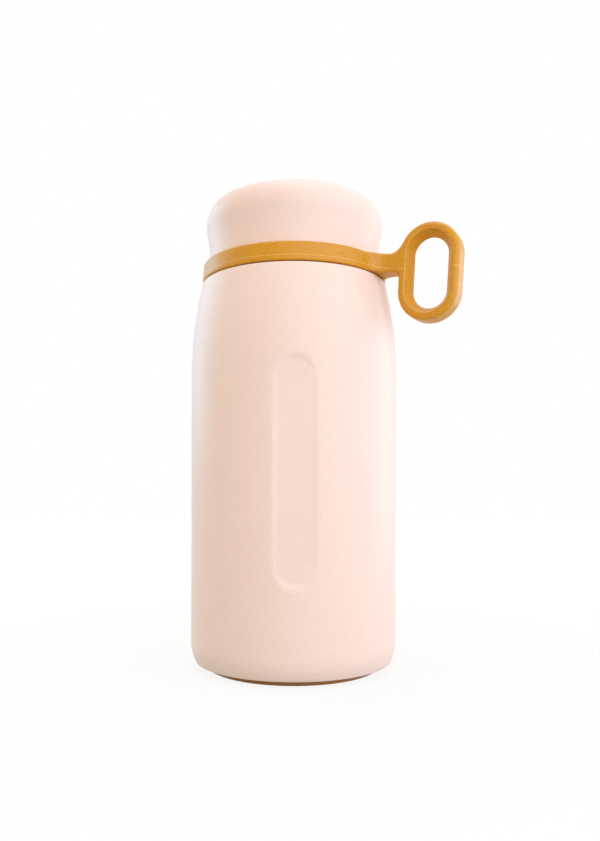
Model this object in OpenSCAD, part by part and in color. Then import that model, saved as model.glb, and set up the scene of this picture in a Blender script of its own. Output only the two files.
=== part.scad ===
// Vacuum-insulated children's drinking bottle with a screw lid and a silicone
// carry band. Millimetres, +Z up. The origin is the centre of the face that the
// bottle stands on, and the grip recess faces -Y.

/* [Body] */
// Outer diameter of the straight wall
body_d = 72; // [70:0.5:90]
// Height of the shoulder ledge above the floor
ledge_z = 133.6; // [110:0.1:190]
// Height of the curved shoulder below the ledge
shoulder_h = 32.3; // [18:0.1:40]
// Height of the heel, over which the outer wall draws in to its lower edge
heel_h = 7; // [6:0.1:14]
// Radius of the heel's curve
heel_arch = 15; // [24:1:60]
// Thickness of every steel sheet
sheet = 0.5; // [0.4:0.05:0.8]
// Vacuum gap between the outer wall and the liner
vacuum_gap = 2.3; // [2:0.1:4]
// Radius of the shoulder's top edge
ledge_edge_r = 0.8; // [0.6:0.1:1.5]

/* [Grip recess] */
// Width of the flat-floored recess in the front
recess_w = 13.8; // [8:0.1:20]
// Depth of the recess floor at its middle
recess_depth = 1; // [0.6:0.05:1.2]
// Height of the recess's lower end
recess_bottom = 31; // [20:0.5:50]
// Distance from the ledge down to the recess's upper end
recess_head = 29.6; // [28:0.1:60]

/* [Mouth and thread] */
// Outer diameter of the neck
neck_d = 52; // [42:0.1:56]
// Height of the neck above the ledge
neck_h = 15.5; // [14:0.1:22]
// Gap between the two neck walls
neck_gap = 0.9; // [0.6:0.1:1.5]
// Thickness of the rolled lip that joins both walls
lip_h = 0.6; // [0.5:0.1:1]
// Height that the lid rises in one turn
lead = 6; // [5:0.5:8]
// Height of a thread ridge off its wall
ridge_h = 1; // [0.8:0.1:1.2]
// Width of a thread ridge at its foot
ridge_w = 2.2; // [1.6:0.1:2.6]
// Turns of the neck's ridge
neck_turns = 1.25; // [0.75:0.25:1.5]
// Turns of the lid's ridge
lid_turns = 0.75; // [0.5:0.25:1]
// Clearance between mating threads
thread_gap = 0.3; // [0.2:0.05:0.5]

/* [Inner liner] */
// Radius of the liner's upper corner
liner_corner_r = 4; // [2:0.5:6]
// Radius of the liner's bottom corner
liner_foot_r = 6; // [3:0.5:10]
// Height of the seam between liner wall and liner bottom, above the liner's underside
liner_seam = 8.5; // [7:0.5:15]

/* [Base] */
// Height that the soft pad stands below the steel
pad_proud = 2.3; // [1:0.1:3]
// Radius of the base plate's lower edge
base_edge_r = 1; // [0.8:0.1:2]
// Width of the base plate's flat ring, between its lower edge and the pad's seat
base_flat = 2.6; // [1:0.1:5]
// Height of the base plate's flange, which is welded inside the heel
base_flange = 4; // [2.5:0.1:5]
// Depth of the seat that the pad is glued into
seat_depth = 1; // [0.6:0.1:1.6]
// Thickness of the adhesive film
glue = 0.2; // [0.1:0.05:0.4]
// Gap round the pad in its seat
pad_gap = 0.2; // [0.1:0.05:0.5]
// Height of the vacuum bottom's rim
vacuum_rim = 3; // [2:0.5:5]

/* [Lid] */
// Height of the lid above the carry band
lid_h = 22.4; // [20:0.1:34]
// Outer radius that the lid gains from the band to its widest place
lid_flare = 1.2; // [0.6:0.1:3]
// Width of the lid's rounded top corner
lid_corner_w = 5.9; // [4:0.1:12]
// Height of the lid's rounded top corner
lid_corner_h = 7.9; // [4:0.1:12]
// How far the corner's curve goes on below the lid's widest place, in degrees
lid_tuck = 15; // [5:1:25]
// Height of the slight dome across the lid's top
lid_dome = 0.9; // [0.6:0.1:3]
// Thickness of the lid cover at the band's groove
cover_wall = 1.2; // [1:0.1:2]
// Thickness of the lid cover above the groove
cover_t = 1.5; // [1.2:0.1:2.5]
// Thickness of the lid insert's skirt
insert_wall = 1.05; // [0.9:0.05:1.6]
// Thickness of the insert's deck, plug wall and plug floor
insert_t = 1.5; // [1.2:0.1:2]
// Height of the plug below the deck
plug_h = 13; // [10:0.5:20]
// Gap between the lid's lower edge and the ledge
lid_gap = 0.5; // [0.3:0.1:1]

/* [Carry band] */
// Height of the silicone band
band_h = 6.2; // [5:0.1:9]
// Thickness of the band
band_t = 2.4; // [2:0.1:3.5]
// How much narrower the band is at its top than at its foot, on each side
band_taper = 0.4; // [0:0.05:0.8]
// Running gap between the band and its groove
band_gap = 0.2; // [0.1:0.05:0.4]
// Direction of the finger loop, counted from +X
loop_angle = -28; // [-180:1:180]
// Lean of the loop, which hangs a little under its own weight
loop_lean = 3; // [0:0.5:8]
// Slope of the stem, which hangs a little too
stem_lean = 5.5; // [0:0.5:8]
// Fillet between the band and the stem, seen from above
stem_fillet = 5; // [2:0.5:7]
// Length of the stem between the band and the loop
stem_l = 8; // [5:0.1:15]
// Width of the stem
stem_w = 7.9; // [5:0.1:9]
// Overall width of the finger loop
loop_w = 20; // [18:0.1:36]
// Overall height of the finger loop
loop_h = 31.6; // [24:0.1:50]
// Distance from the band's middle down to the loop's middle
loop_drop = 4.8; // [0:0.05:8]
// Width of the loop's bar at its faces
bar_face = 2.3; // [2:0.1:4]
// Width of the loop's bar at mid-thickness
bar_w = 4.6; // [3.5:0.1:7]
// Thickness of the loop's bar
bar_t = 7.9; // [6:0.1:12]

/* [Hidden] */
$fn = 96;

// Colours of the finishes
paint = [0.94, 0.83, 0.77];
amber = [0.85, 0.59, 0.20];
steel = [0.75, 0.75, 0.76];
cream = [0.93, 0.90, 0.86];

// Steps along a drawn arc, and a hair that keeps cutters past the faces they cut
arc_steps = 10;
side_steps = 8;
heel_steps = 6;
past = 0.5;
fit = 0.05;             // clearance between pieces that are pressed or welded together

// Heights, from the floor up
steel_z = pad_proud;                            // lower edge of the steel
seat_z = steel_z + seat_depth;                  // roof of the pad's seat
heel_z = steel_z + heel_h;                      // where the heel meets the straight wall
flange_z = steel_z + base_flange;               // top of the base plate's flange
vacuum_z = flange_z + fit;                      // underside of the vacuum bottom
getter_room = 2.7;                              // space for the getter under the liner
liner_z = vacuum_z + sheet + getter_room;       // underside of the liner
liner_seam_z = liner_z + liner_seam;
straight_z = ledge_z - shoulder_h;              // foot of the shoulder
neck_top = ledge_z + neck_h;
rim_z = neck_top + lip_h;
lid_foot = ledge_z + lid_gap;

// Radii, from the axis out
body_r = body_d / 2;
neck_r = neck_d / 2;
crest_r = neck_r + ridge_h;
skirt_r = crest_r + thread_gap;                 // inside of the lid's skirt
insert_r = skirt_r + insert_wall;               // outside of the lid's skirt
groove_r = insert_r + fit + cover_wall;         // floor of the band's groove
band_r = groove_r + band_gap;                   // inside of the band
ledge_r = band_r + band_t;                      // outer edge of the shoulder's ledge
mouth_r = neck_r - 2 * sheet - neck_gap;        // clear radius of the mouth
base_in = sheet + fit;                          // from the outer wall's face to what is welded in it
base_edge_z = steel_z + base_edge_r;            // centre of the base plate's lower edge
base_lean = asin((heel_z - base_edge_z) / (heel_arch - base_in - base_edge_r));
base_edge_x = body_r - heel_arch + (heel_arch - base_in - base_edge_r) * cos(base_lean);
seat_r = base_edge_x - base_flat;
pad_r = seat_r - pad_gap;

// The shoulder is one arc that is tangent to the straight wall and ends at the ledge
shoulder_in = body_r - ledge_r;
shoulder_r = (pow(shoulder_in, 2) + pow(shoulder_h, 2)) / (2 * shoulder_in);

// Neck fillet, and the places of the liner inside the outer wall
neck_fillet = 0.6;
liner_in = sheet + vacuum_gap;                  // from the outer wall's face to the liner's
liner_neck_fillet = neck_fillet + neck_gap;

// Band's groove and the lid's hooked lower edge
band_foot = ledge_z + thread_gap;
band_top = band_foot + band_h;
hook_h = 0.8;
hook_out = 1;
hook_gap = 0.3;

// Lid
lid_top = band_top + lid_h;
lid_r = groove_r + 0.1;                         // lid's radius just above the band
lid_max_r = lid_r + lid_flare;
waist_z = band_top + 1;                         // where the lid starts to widen
wide_z = lid_top - lid_dome - lid_corner_h;     // the lid's widest place
corner_x = lid_max_r - lid_corner_w;            // middle of the lid's rounded corner
side_z = wide_z - lid_corner_h * sin(lid_tuck); // where the lid's side meets its corner
side_x = corner_x + lid_corner_w * cos(lid_tuck);
deck_z = rim_z + 0.6;                           // underside of the insert's deck
deck_top = deck_z + insert_t;
gasket_lip = 0.1;                               // running gap of the gasket in the mouth
plug_r = mouth_r - 1.1;
plug_foot = deck_z - plug_h;
gasket_z = plug_foot + 3;
gasket_h = 3.4;
gasket_depth = 0.9;                             // depth of the gasket's groove in the plug
snap_z = deck_z - 2.5;                          // snap bead that holds the cover
snap_h = 1.2;
snap_out = 0.35;

// Carry band
band_mid = (band_foot + band_top) / 2;
loop_x = ledge_r + stem_l + loop_w / 2;         // loop's middle, along its own direction
loop_z = band_mid - loop_drop;
loop_leg = loop_h - loop_w;                     // straight length of the loop's bars

// Small parts in the vacuum
dimple_r = 2.6;
dimple_h = 1.2;
vent_r = 0.7;
getter_r = 4;
getter_h = 1.5;
getter_x = 16;

// Points on an arc about [cx, cz] from angle a0 to a1
function arc(cx, cz, r, a0, a1, n = arc_steps) =
    [for (i = [0 : n]) let (a = a0 + (a1 - a0) * i / n) [cx + r * cos(a), cz + r * sin(a)]];

function flip(points) = [for (i = [len(points) - 1 : -1 : 0]) points[i]];

// Angle at which an arc about height cz with radius r reaches height z
function reach(cz, r, z) = asin((z - cz) / r);

// Line of the heel, moved inwards by inset, from height z0 up to z1
function heel_line(inset, z0, z1) =
    [for (i = [0 : heel_steps]) let (z = z0 + (z1 - z0) * i / heel_steps)
        [body_r - heel_arch + sqrt(pow(heel_arch - inset, 2) - pow(max(heel_z - z, 0), 2)), z]];

// The upper part of a wall: an arched shoulder, a rounded edge, a ledge and a neck.
// edge is the radius of the rounded edge, and fillet that of the corner at the neck.
function wall_line(side, ledge, edge, fillet, neck, top, arch) =
    let (cx = side - arch,
         edge_z = ledge - edge,
         a = reach(straight_z, arch - edge, edge_z),
         edge_x = cx + (arch - edge) * cos(a))
    concat(arc(cx, straight_z, arch, 0, a),
           arc(edge_x, edge_z, edge, a, 90, 5),
           arc(neck + fillet, ledge + fillet, fillet, -90, -180, 4),
           [[neck, top]]);

// The outer wall's line, moved inwards by inset
function shell_line(inset) =
    concat(heel_line(inset, steel_z, heel_z),
           wall_line(body_r - inset, ledge_z - inset, ledge_edge_r - inset, neck_fillet + inset,
                     neck_r - inset, neck_top, shoulder_r - inset));

// The liner's line above its seam, moved inwards by inset
function liner_line(inset) =
    concat([[body_r - liner_in - inset, liner_seam_z]],
           wall_line(body_r - liner_in - inset, ledge_z - liner_in - inset,
                     liner_corner_r - inset, liner_neck_fillet + inset,
                     mouth_r + sheet - inset, neck_top, shoulder_r - liner_in - inset));

// Radius of the lid's hollow side at height z, below its corner
function lid_radius(z) =
    lid_r + (side_x - lid_r) * pow(max(z - waist_z, 0) / (side_z - waist_z), 2);

// Half outline of the lid above height z0, moved inwards by inset: the hollow side, the
// corner's oval and the dome's arc
function lid_line(inset, z0) =
    let (top_r = (pow(corner_x, 2) + pow(lid_dome, 2)) / (2 * lid_dome),
         lean = asin(corner_x / top_r))
    concat([for (i = [0 : side_steps]) let (z = z0 + (side_z - z0) * i / side_steps)
               [lid_radius(z) - inset, z]],
           [for (i = [1 : 12]) let (a = -lid_tuck + (90 + lid_tuck - lean / 2) * i / 12)
               [corner_x + (lid_corner_w - inset) * cos(a), wide_z + (lid_corner_h - inset) * sin(a)]],
           [for (i = [1 : 6]) let (a = lean * (1 - i / 6))
               [(top_r - inset) * sin(a), lid_top - inset - (top_r - inset) * (1 - cos(a))]]);

// Stadium-shaped block of the recess, w wide, from y0 to y1, between heights z0 and z1
module recess_block(w, y0, y1, z0, z1) {
    mid = (z1 - z0) / 2 - w / 2;
    translate([0, y1, (z0 + z1) / 2])
        rotate([90, 0, 0])
            linear_extrude(y1 - y0) {
                square([w, 2 * mid], center = true);
                for (s = [-1, 1]) translate([0, s * mid]) circle(d = w);
            }
}

// A thread ridge: one swept four-sided bar. side is 1 for a ridge that stands out of a
// wall of radius r, and -1 for one that stands in. It starts at height z0 and angle a0.
module ridge(r, side, turns, z0, a0) {
    steps = 40 * turns;
    sink = 0.25;
    tip = 0.45;                                  // half of the crest's width
    foot = ridge_w / 2;
    function grown(i) = min(1, min(i, steps - i) / 4);
    function ring(i) =
        let (a = a0 + 360 * turns * i / steps,
             z = z0 + lead * turns * i / steps,
             g = grown(i),
             h = ridge_h * g + 0.02)
        [for (p = [[-sink, -foot], [-sink, foot], [h, tip], [h, -tip]])
            [(r + side * p[0]) * cos(a), (r + side * p[0]) * sin(a), z + p[1]]];
    points = [for (i = [0 : steps]) each ring(i)];
    sides = [for (i = [0 : steps - 1]) for (k = [0 : 3])
        let (a = 4 * i + k, b = 4 * i + (k + 1) % 4)
        each [[a, b, b + 4], [a, b + 4, a + 4]]];
    ends = [[3, 2, 1], [3, 1, 0],
            [4 * steps, 4 * steps + 1, 4 * steps + 2], [4 * steps, 4 * steps + 2, 4 * steps + 3]];
    faces = concat(sides, ends);
    polyhedron(points, side < 0 ? faces : [for (f = faces) flip(f)]);
}

// Painted outer wall of the bottle, with the neck, its thread and the grip recess
module outer_shell() {
    top = ledge_z - recess_head;
    floor_y = recess_depth - body_r;
    color(paint) {
        difference() {
            union() {
                rotate_extrude() polygon(concat(shell_line(0), flip(shell_line(sheet))));
                intersection() {
                    recess_block(recess_w + 2 * sheet, -body_r - past, floor_y + sheet,
                                 recess_bottom - sheet, top + sheet);
                    translate([0, 0, heel_z])
                        cylinder(r = body_r - sheet / 2, h = top + sheet - heel_z);
                }
            }
            recess_block(recess_w, -body_r - 2 * past, floor_y, recess_bottom, top);
        }
        ridge(neck_r, 1, neck_turns, ledge_z + 4, 20);
    }
}

// Steel vessel that holds the drink, rolled over the outer wall at the lip
module inner_liner() {
    color(steel)
        rotate_extrude()
            polygon(concat(liner_line(0),
                           [[neck_r - 0.1, neck_top], [neck_r, neck_top + lip_h / 2],
                            [neck_r - 0.1, rim_z], [mouth_r + 0.2, rim_z], [mouth_r, rim_z - 0.2]],
                           flip(liner_line(sheet))));
}

// Dished bottom, butt-welded to the liner's wall
module liner_bottom() {
    r = body_r - liner_in;
    function dish(i) = concat([[r - i, liner_seam_z]],
                              arc(r - liner_foot_r, liner_z + liner_foot_r, liner_foot_r - i, 0, -90),
                              [[0, liner_z + i]]);
    color(steel) rotate_extrude() polygon(concat(dish(0), flip(dish(sheet))));
}

// Foil that stops radiant heat, wrapped round the liner
module foil_wrap() {
    foil = 0.15;
    r = body_r - liner_in + fit;
    color([0.85, 0.62, 0.42])
        translate([0, 0, liner_seam_z - 1])
            difference() {
                cylinder(r = r + foil, h = straight_z - liner_seam_z);
                translate([0, 0, -past]) cylinder(r = r, h = straight_z - liner_seam_z + 2 * past);
            }
}

// Pan that closes the vacuum space, with a dimple and a vent for pumping it out. Its rim
// follows the heel.
module vacuum_bottom() {
    slope = 1.9;
    bend = 1;
    rim = heel_line(base_in, vacuum_z + bend, vacuum_z + vacuum_rim);
    rim_in = heel_line(base_in + sheet, vacuum_z + bend + sheet / 2, vacuum_z + vacuum_rim);
    low = concat([[vent_r, vacuum_z + dimple_h], [dimple_r, vacuum_z + dimple_h],
                  [dimple_r + slope, vacuum_z], [rim[0][0] - bend, vacuum_z]], rim);
    high = concat([[vent_r, vacuum_z + dimple_h + sheet], [dimple_r + 0.2, vacuum_z + dimple_h + sheet],
                   [dimple_r + slope + 0.2, vacuum_z + sheet],
                   [rim_in[0][0] - bend + sheet / 2, vacuum_z + sheet]], rim_in);
    color(steel) rotate_extrude() polygon(concat(low, flip(high)));
}

// Bead of solder glass that seals the vent
module vacuum_seal() {
    color([0.25, 0.28, 0.26]) {
        translate([0, 0, vacuum_z + 0.3]) cylinder(r = dimple_r - 0.2, h = dimple_h - 0.3);
        translate([0, 0, vacuum_z + 0.3]) cylinder(r = vent_r - fit, h = dimple_h - 0.3 + sheet);
    }
}

// Pellet that soaks up stray gas
module getter() {
    color([0.45, 0.45, 0.47])
        translate([getter_x, 0, vacuum_z + sheet + 0.3 + fit]) cylinder(r = getter_r, h = getter_h);
}

// Spring-steel cup that holds the getter down
module getter_clip() {
    clip = 0.3;
    color(steel)
        translate([getter_x, 0, vacuum_z + sheet])
            rotate_extrude()
                polygon([[0, 0], [getter_r + fit + clip, 0],
                         [getter_r + fit + clip, getter_h + 2 * clip + 2 * fit],
                         [getter_r - 0.6, getter_h + 2 * clip + 2 * fit],
                         [getter_r - 0.6, getter_h + clip + 2 * fit],
                         [getter_r + fit, getter_h + clip + 2 * fit],
                         [getter_r + fit, clip], [0, clip]]);
}

// Painted bottom plate: a flange welded inside the heel, a flat ring and the pad's seat
module base_plate() {
    turn = 0.3;                                  // bevel where the sheet turns up into the seat
    function plate(i, bend) =
        concat(flip(heel_line(base_in + i, base_edge_z - (base_edge_r - i) * sin(base_lean), flange_z)),
               arc(base_edge_x, base_edge_z, base_edge_r - i, -base_lean - 10, -90, 4),
               bend, [[seat_r + i, seat_z + i], [0, seat_z + i]]);
    outside = plate(0, [[seat_r + turn, steel_z], [seat_r, steel_z + turn]]);
    inside = plate(sheet, [[seat_r + sheet, steel_z + sheet]]);
    color(paint) rotate_extrude() polygon(concat(outside, flip(inside)));
}

// Double-sided film that holds the pad
module pad_adhesive() {
    color([0.9, 0.9, 0.85]) translate([0, 0, seat_z - glue]) cylinder(r = pad_r - 1, h = glue);
}

// Silicone foot with two shallow grip rings in its underside
module base_pad() {
    edge = 0.4;
    ring_d = 0.5;
    ring_w = 1.2;
    color(amber)
        difference() {
            rotate_extrude()
                polygon([[0, 0], [pad_r - edge, 0], [pad_r, edge],
                         [pad_r, seat_z - glue], [0, seat_z - glue]]);
            for (r = [pad_r - 4, pad_r - 8])
                translate([0, 0, -past])
                    difference() {
                        cylinder(r = r, h = past + ring_d);
                        translate([0, 0, -past]) cylinder(r = r - ring_w, h = 3 * past + ring_d);
                    }
        }
}

// Silicone seal with two lips, in the plug's groove
module stopper_gasket() {
    in_r = plug_r - gasket_depth + fit;
    out_r = mouth_r - gasket_lip;
    waist = out_r - 0.7;
    low = gasket_z + fit;
    high = gasket_z + gasket_h - fit;
    color(cream)
        rotate_extrude()
            polygon([[in_r, low], [waist, low], [out_r, low + 0.9], [out_r, low + 1.2],
                     [waist, low + 1.3], [waist, high - 1.3], [out_r, high - 0.7],
                     [out_r, high - 0.4], [waist, high], [in_r, high]]);
}

// Moulded inner part of the lid: threaded skirt, deck and hollow plug
module lid_insert() {
    plug_in = plug_r - gasket_depth - insert_t;
    color(cream) {
        rotate_extrude()
            polygon([[0, plug_foot], [plug_r - 1, plug_foot], [plug_r, plug_foot + 1], [plug_r, gasket_z],
                     [plug_r - gasket_depth, gasket_z], [plug_r - gasket_depth, gasket_z + gasket_h],
                     [plug_r, gasket_z + gasket_h], [plug_r, deck_z], [skirt_r, deck_z],
                     [skirt_r, lid_foot + 0.4], [skirt_r + 0.3, lid_foot], [insert_r, lid_foot],
                     [insert_r, snap_z], [insert_r + snap_out, snap_z + snap_h / 2],
                     [insert_r, snap_z + snap_h], [insert_r, deck_top], [plug_in, deck_top],
                     [plug_in, plug_foot + insert_t], [0, plug_foot + insert_t]]);
        ridge(skirt_r, -1, lid_turns, lid_foot + 2, 200);
    }
}

// Insulating foam in the plug and under the lid's top
module lid_foam() {
    plug_in = plug_r - gasket_depth - insert_t;
    cap_r = corner_x - 2;
    plug_floor = plug_foot + insert_t;
    ceiling = lid_top - lid_dome - cover_t;
    color([0.97, 0.97, 0.95]) {
        translate([0, 0, plug_floor + fit]) cylinder(r = plug_in - fit, h = deck_top - plug_floor);
        translate([0, 0, deck_top + fit]) cylinder(r = cap_r, h = ceiling - deck_top - 2 * fit);
    }
}

// Painted cover of the lid, snapped over the insert, with the groove that holds the band
module lid_cover() {
    in_r = insert_r + fit;
    hook_r = groove_r + hook_out;
    bevel = 0.2;
    color(paint)
        rotate_extrude()
            polygon(concat([[in_r, lid_foot], [hook_r - bevel, lid_foot], [hook_r, lid_foot + bevel],
                            [hook_r, lid_foot + hook_h - bevel], [hook_r - bevel, lid_foot + hook_h]],
                           [[groove_r, lid_foot + hook_h], [groove_r, band_top]],
                           lid_line(0, waist_z),
                           flip(lid_line(cover_t, deck_top)),
                           [[in_r, deck_top], [in_r, snap_z + snap_h + fit],
                            [in_r + snap_out, snap_z + snap_h / 2], [in_r, snap_z - fit]]));
}

// Cross-section of the loop's bar. x runs outwards from the loop's middle, y through its thickness.
module bar_section() {
    out = loop_w / 2;
    half = bar_t / 2;
    round = 1.5;
    corner = arc(out - round, half - round, round, 0, 90, 3);
    half_outline = concat(corner, [[out - bar_face, half], [out - bar_w, 0.4]]);
    polygon(concat(half_outline, [for (p = flip(half_outline)) [p[0], -p[1]]]));
}

// Stadium-shaped finger loop, in the X-Z plane, centred on the origin
module finger_loop() {
    for (s = [0, 1])
        mirror([0, 0, s])
            translate([0, 0, loop_leg / 2])
                rotate([90, 0, 0])
                    rotate_extrude(angle = 180) bar_section();
    for (s = [0, 1])
        mirror([s, 0, 0])
            translate([0, 0, -loop_leg / 2])
                linear_extrude(loop_leg) bar_section();
}

// The stem from above, with a fillet on each side where it leaves the band
module stem_plan() {
    ring = ledge_r - band_taper / 2;
    root = groove_r + hook_out + hook_gap + band_h / 2 * sin(stem_lean) + 0.2;
    side = stem_w / 2;
    centre = sqrt(pow(ring + stem_fillet, 2) - pow(side + stem_fillet, 2));
    meet = atan((side + stem_fillet) / centre);
    half = concat(arc(0, 0, root, 0, meet, 5),
                  [for (a = [180 + meet : (90 - meet) / 5 : 270.1])
                      [centre + stem_fillet * cos(a), side + stem_fillet + stem_fillet * sin(a)]],
                  [[ledge_r + stem_l + bar_w / 2, side]]);
    other = [for (p = flip(half)) if (p[1] > 0) [p[0], -p[1]]];
    polygon(concat(half, other));
}

// Silicone ring in the lid's groove, with its stem and finger loop
module carry_band() {
    soft = 0.6;
    rebate_r = groove_r + hook_out + hook_gap;
    rebate_z = lid_foot + hook_h + hook_gap;
    top_r = ledge_r - band_taper;
    color(amber) {
        rotate_extrude()
            polygon([[rebate_r, band_foot], [ledge_r - soft, band_foot], [ledge_r, band_foot + soft],
                     [top_r, band_top - soft], [top_r - soft, band_top], [band_r, band_top],
                     [band_r, rebate_z], [rebate_r, rebate_z]]);
        rotate([0, 0, loop_angle]) {
            translate([ledge_r, 0, band_mid])
                rotate([0, stem_lean, 0])
                    translate([-ledge_r, 0, -band_h / 2])
                        linear_extrude(band_h) stem_plan();
            translate([loop_x, 0, loop_z]) rotate([0, loop_lean, 0]) finger_loop();
        }
    }
}

outer_shell();
inner_liner();
liner_bottom();
foil_wrap();
vacuum_bottom();
vacuum_seal();
getter();
getter_clip();
base_plate();
pad_adhesive();
base_pad();
stopper_gasket();
lid_insert();
lid_foam();
lid_cover();
carry_band();
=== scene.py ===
"""Builds the visible pieces, finishes and studio of an insulated drinking bottle.

The packed frame gives each piece its place. Lengths are in metres, +Z is up, and the grip
recess faces -Y.
"""

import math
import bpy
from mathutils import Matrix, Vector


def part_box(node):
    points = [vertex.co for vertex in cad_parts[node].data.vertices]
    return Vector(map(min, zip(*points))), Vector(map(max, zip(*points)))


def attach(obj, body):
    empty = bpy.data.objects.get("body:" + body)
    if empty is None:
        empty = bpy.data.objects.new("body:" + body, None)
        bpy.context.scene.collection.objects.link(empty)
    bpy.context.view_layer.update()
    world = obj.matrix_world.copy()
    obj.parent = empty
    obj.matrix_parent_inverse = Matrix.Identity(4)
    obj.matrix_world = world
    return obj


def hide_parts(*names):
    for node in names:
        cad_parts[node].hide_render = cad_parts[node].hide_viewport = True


bl_info = {
    "name": "Insulated Drinking Bottle",
    "version": (1, 0, 0),
    "blender": (4, 5, 0),
    "location": "View3D > Sidebar > Bottle",
    "description": "Builds a vacuum bottle with a screw lid and a silicone carry band",
    "category": "Add Mesh",
}

import bmesh
import bpy
import numpy as np
from bpy.props import FloatProperty, FloatVectorProperty, IntProperty, PointerProperty
from mathutils import Vector

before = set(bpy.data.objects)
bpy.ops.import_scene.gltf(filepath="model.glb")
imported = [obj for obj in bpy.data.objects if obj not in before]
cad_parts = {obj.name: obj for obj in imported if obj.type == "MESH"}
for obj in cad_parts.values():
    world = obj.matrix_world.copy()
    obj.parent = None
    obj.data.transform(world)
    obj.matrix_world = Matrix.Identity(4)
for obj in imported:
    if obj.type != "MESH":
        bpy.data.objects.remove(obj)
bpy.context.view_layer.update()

MM = 0.001
FULL_TURN = 2 * math.pi
FRONT = -math.pi / 2  # angle of -Y about the axis
UP = np.array([0, 0, 1.0])
HAIR = 0.01 * MM  # a distance too small to see
MERGE = 0.001 * MM  # points of a turned piece that are this close become one
PLAIN_STEP = 4 * MM  # between points on a plain wall
FINE_STEP = 0.25 * MM  # between points on a pressed or threaded wall
RIDGE_STEP = 0.35 * MM  # between points along a moulding line

SHELL_LOW, SHELL_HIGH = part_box("outer_shell")
LINER_LOW, LINER_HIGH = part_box("inner_liner")
FLOOR_LOW, FLOOR_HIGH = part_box("liner_bottom")
PLATE_LOW, PLATE_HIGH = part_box("base_plate")
PAD_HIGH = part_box("base_pad")[1]
SEAL_LOW, SEAL_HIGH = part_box("stopper_gasket")
CORE_LOW, CORE_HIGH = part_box("lid_insert")
CAP_LOW, CAP_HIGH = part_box("lid_cover")
BAND_LOW, BAND_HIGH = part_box("carry_band")


# ---------------------------------------------------------------- sizes and colours


def length(name, description, default):
    """A length that a user can change, in metres."""
    return FloatProperty(
        name=name, description=description, default=default, unit="LENGTH", precision=5
    )


def linear(red, green, blue):
    """Scene-linear colour of a display colour whose parts go from 0 to 255."""
    parts = [part / 255 for part in (red, green, blue)]
    return [
        part / 12.92 if part <= 0.04045 else ((part + 0.055) / 1.055) ** 2.4
        for part in parts
    ]


def colour(name, description, default):
    """A colour that a user can change."""
    return FloatVectorProperty(
        name=name,
        description=description,
        default=linear(*default),
        subtype="COLOR",
        min=0,
        max=1,
    )


def power(name, description, default):
    """A light's strength that a user can change."""
    return FloatProperty(name=name, description=description, default=default, min=0)


class BodySizes(bpy.types.PropertyGroup):
    """Sizes of the bottle's body."""

    radius: length("Radius", "Radius of the straight wall", SHELL_HIGH.x)
    sheet: length("Sheet", "Thickness of every steel sheet", 0.5 * MM)
    heel_height: length("Heel height", "Height over which the wall draws in", 7 * MM)
    heel_arch: length("Heel arch", "Radius of the heel's curve", 15 * MM)
    lip: length("Lower lip", "Rounding of the wall's lower edge", 0.22 * MM)
    ledge: length("Ledge", "Height of the ledge at the top of the shoulder", 133.6 * MM)
    ledge_radius: length("Ledge radius", "Outer radius of the ledge", 32.2 * MM)
    ledge_edge: length("Ledge edge", "Rounding of the ledge's edge", 0.8 * MM)
    shoulder: length("Shoulder height", "Height of the arched shoulder", 32.3 * MM)
    recess_width: length("Recess width", "Width of the grip recess", 13.2 * MM)
    recess_depth: length("Recess depth", "Depth of the flat floor at its middle", 0.9 * MM)
    recess_foot: length("Recess foot", "Height of the recess's lower end", 31 * MM)
    recess_head: length("Recess head", "Height of the recess's upper end", 104 * MM)
    recess_blend: length("Recess blend", "Half width of the recess's soft edge", 1.25 * MM)
    recess_lift: length("Recess lift", "How much shallower the floor is at its ends", 0.2 * MM)
    recess_round: length("Recess round", "Height of the recess's oval ends", 6.5 * MM)
    recess_aside: length("Recess aside", "How far right of the middle the recess is", 0.5 * MM)


class NeckSizes(bpy.types.PropertyGroup):
    """Sizes of the neck, the liner's mouth and the screw thread."""

    radius: length("Neck radius", "Outer radius of the neck", 26 * MM)
    mouth: length("Mouth", "Clear radius of the mouth", 24.1 * MM)
    fillet: length("Fillet", "Fillet between the ledge and the neck", 0.6 * MM)
    lead: length("Lead", "Rise of the thread in one turn", 6 * MM)
    ridge: length("Ridge height", "Height of a thread ridge", 1.0 * MM)
    ridge_foot: length("Ridge foot", "Half width of a ridge at its foot", 1.25 * MM)
    ridge_crest: length("Ridge crest", "Half width of a ridge at its crest", 0.35 * MM)
    lip: length("Lip", "Thickness of the lip that is rolled over the neck", 0.6 * MM)
    liner_gap: length("Liner gap", "Gap between the outer wall and the liner", 2.3 * MM)


class LidSizes(bpy.types.PropertyGroup):
    """Sizes of the lid."""

    groove: length("Groove radius", "Floor of the groove that holds the band", 29.6 * MM)
    groove_top: length("Groove top", "Height of the groove's upper end", 140.1 * MM)
    waist: length("Waist radius", "Outer radius just above the band", 29.7 * MM)
    radius: length("Widest radius", "Outer radius at the widest place", CAP_HIGH.x)
    corner_width: length("Corner width", "Width of the oval top corner", 5.9 * MM)
    corner_height: length("Corner height", "Height of the oval top corner", 7.9 * MM)
    tuck: FloatProperty(
        name="Tuck",
        description="How far the corner's oval goes on below the widest place",
        default=math.radians(15),
        subtype="ANGLE",
    )
    dome: length("Dome", "Rise of the top across the middle", 0.9 * MM)
    wall: length("Wall", "Thickness of the painted cover", 1.5 * MM)
    skirt: length("Skirt", "Inner radius of the threaded skirt", 27.3 * MM)
    skirt_wall: length("Skirt wall", "Thickness of the threaded skirt", 1.05 * MM)
    plug: length("Plug radius", "Radius of the plug", 23 * MM)


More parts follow.
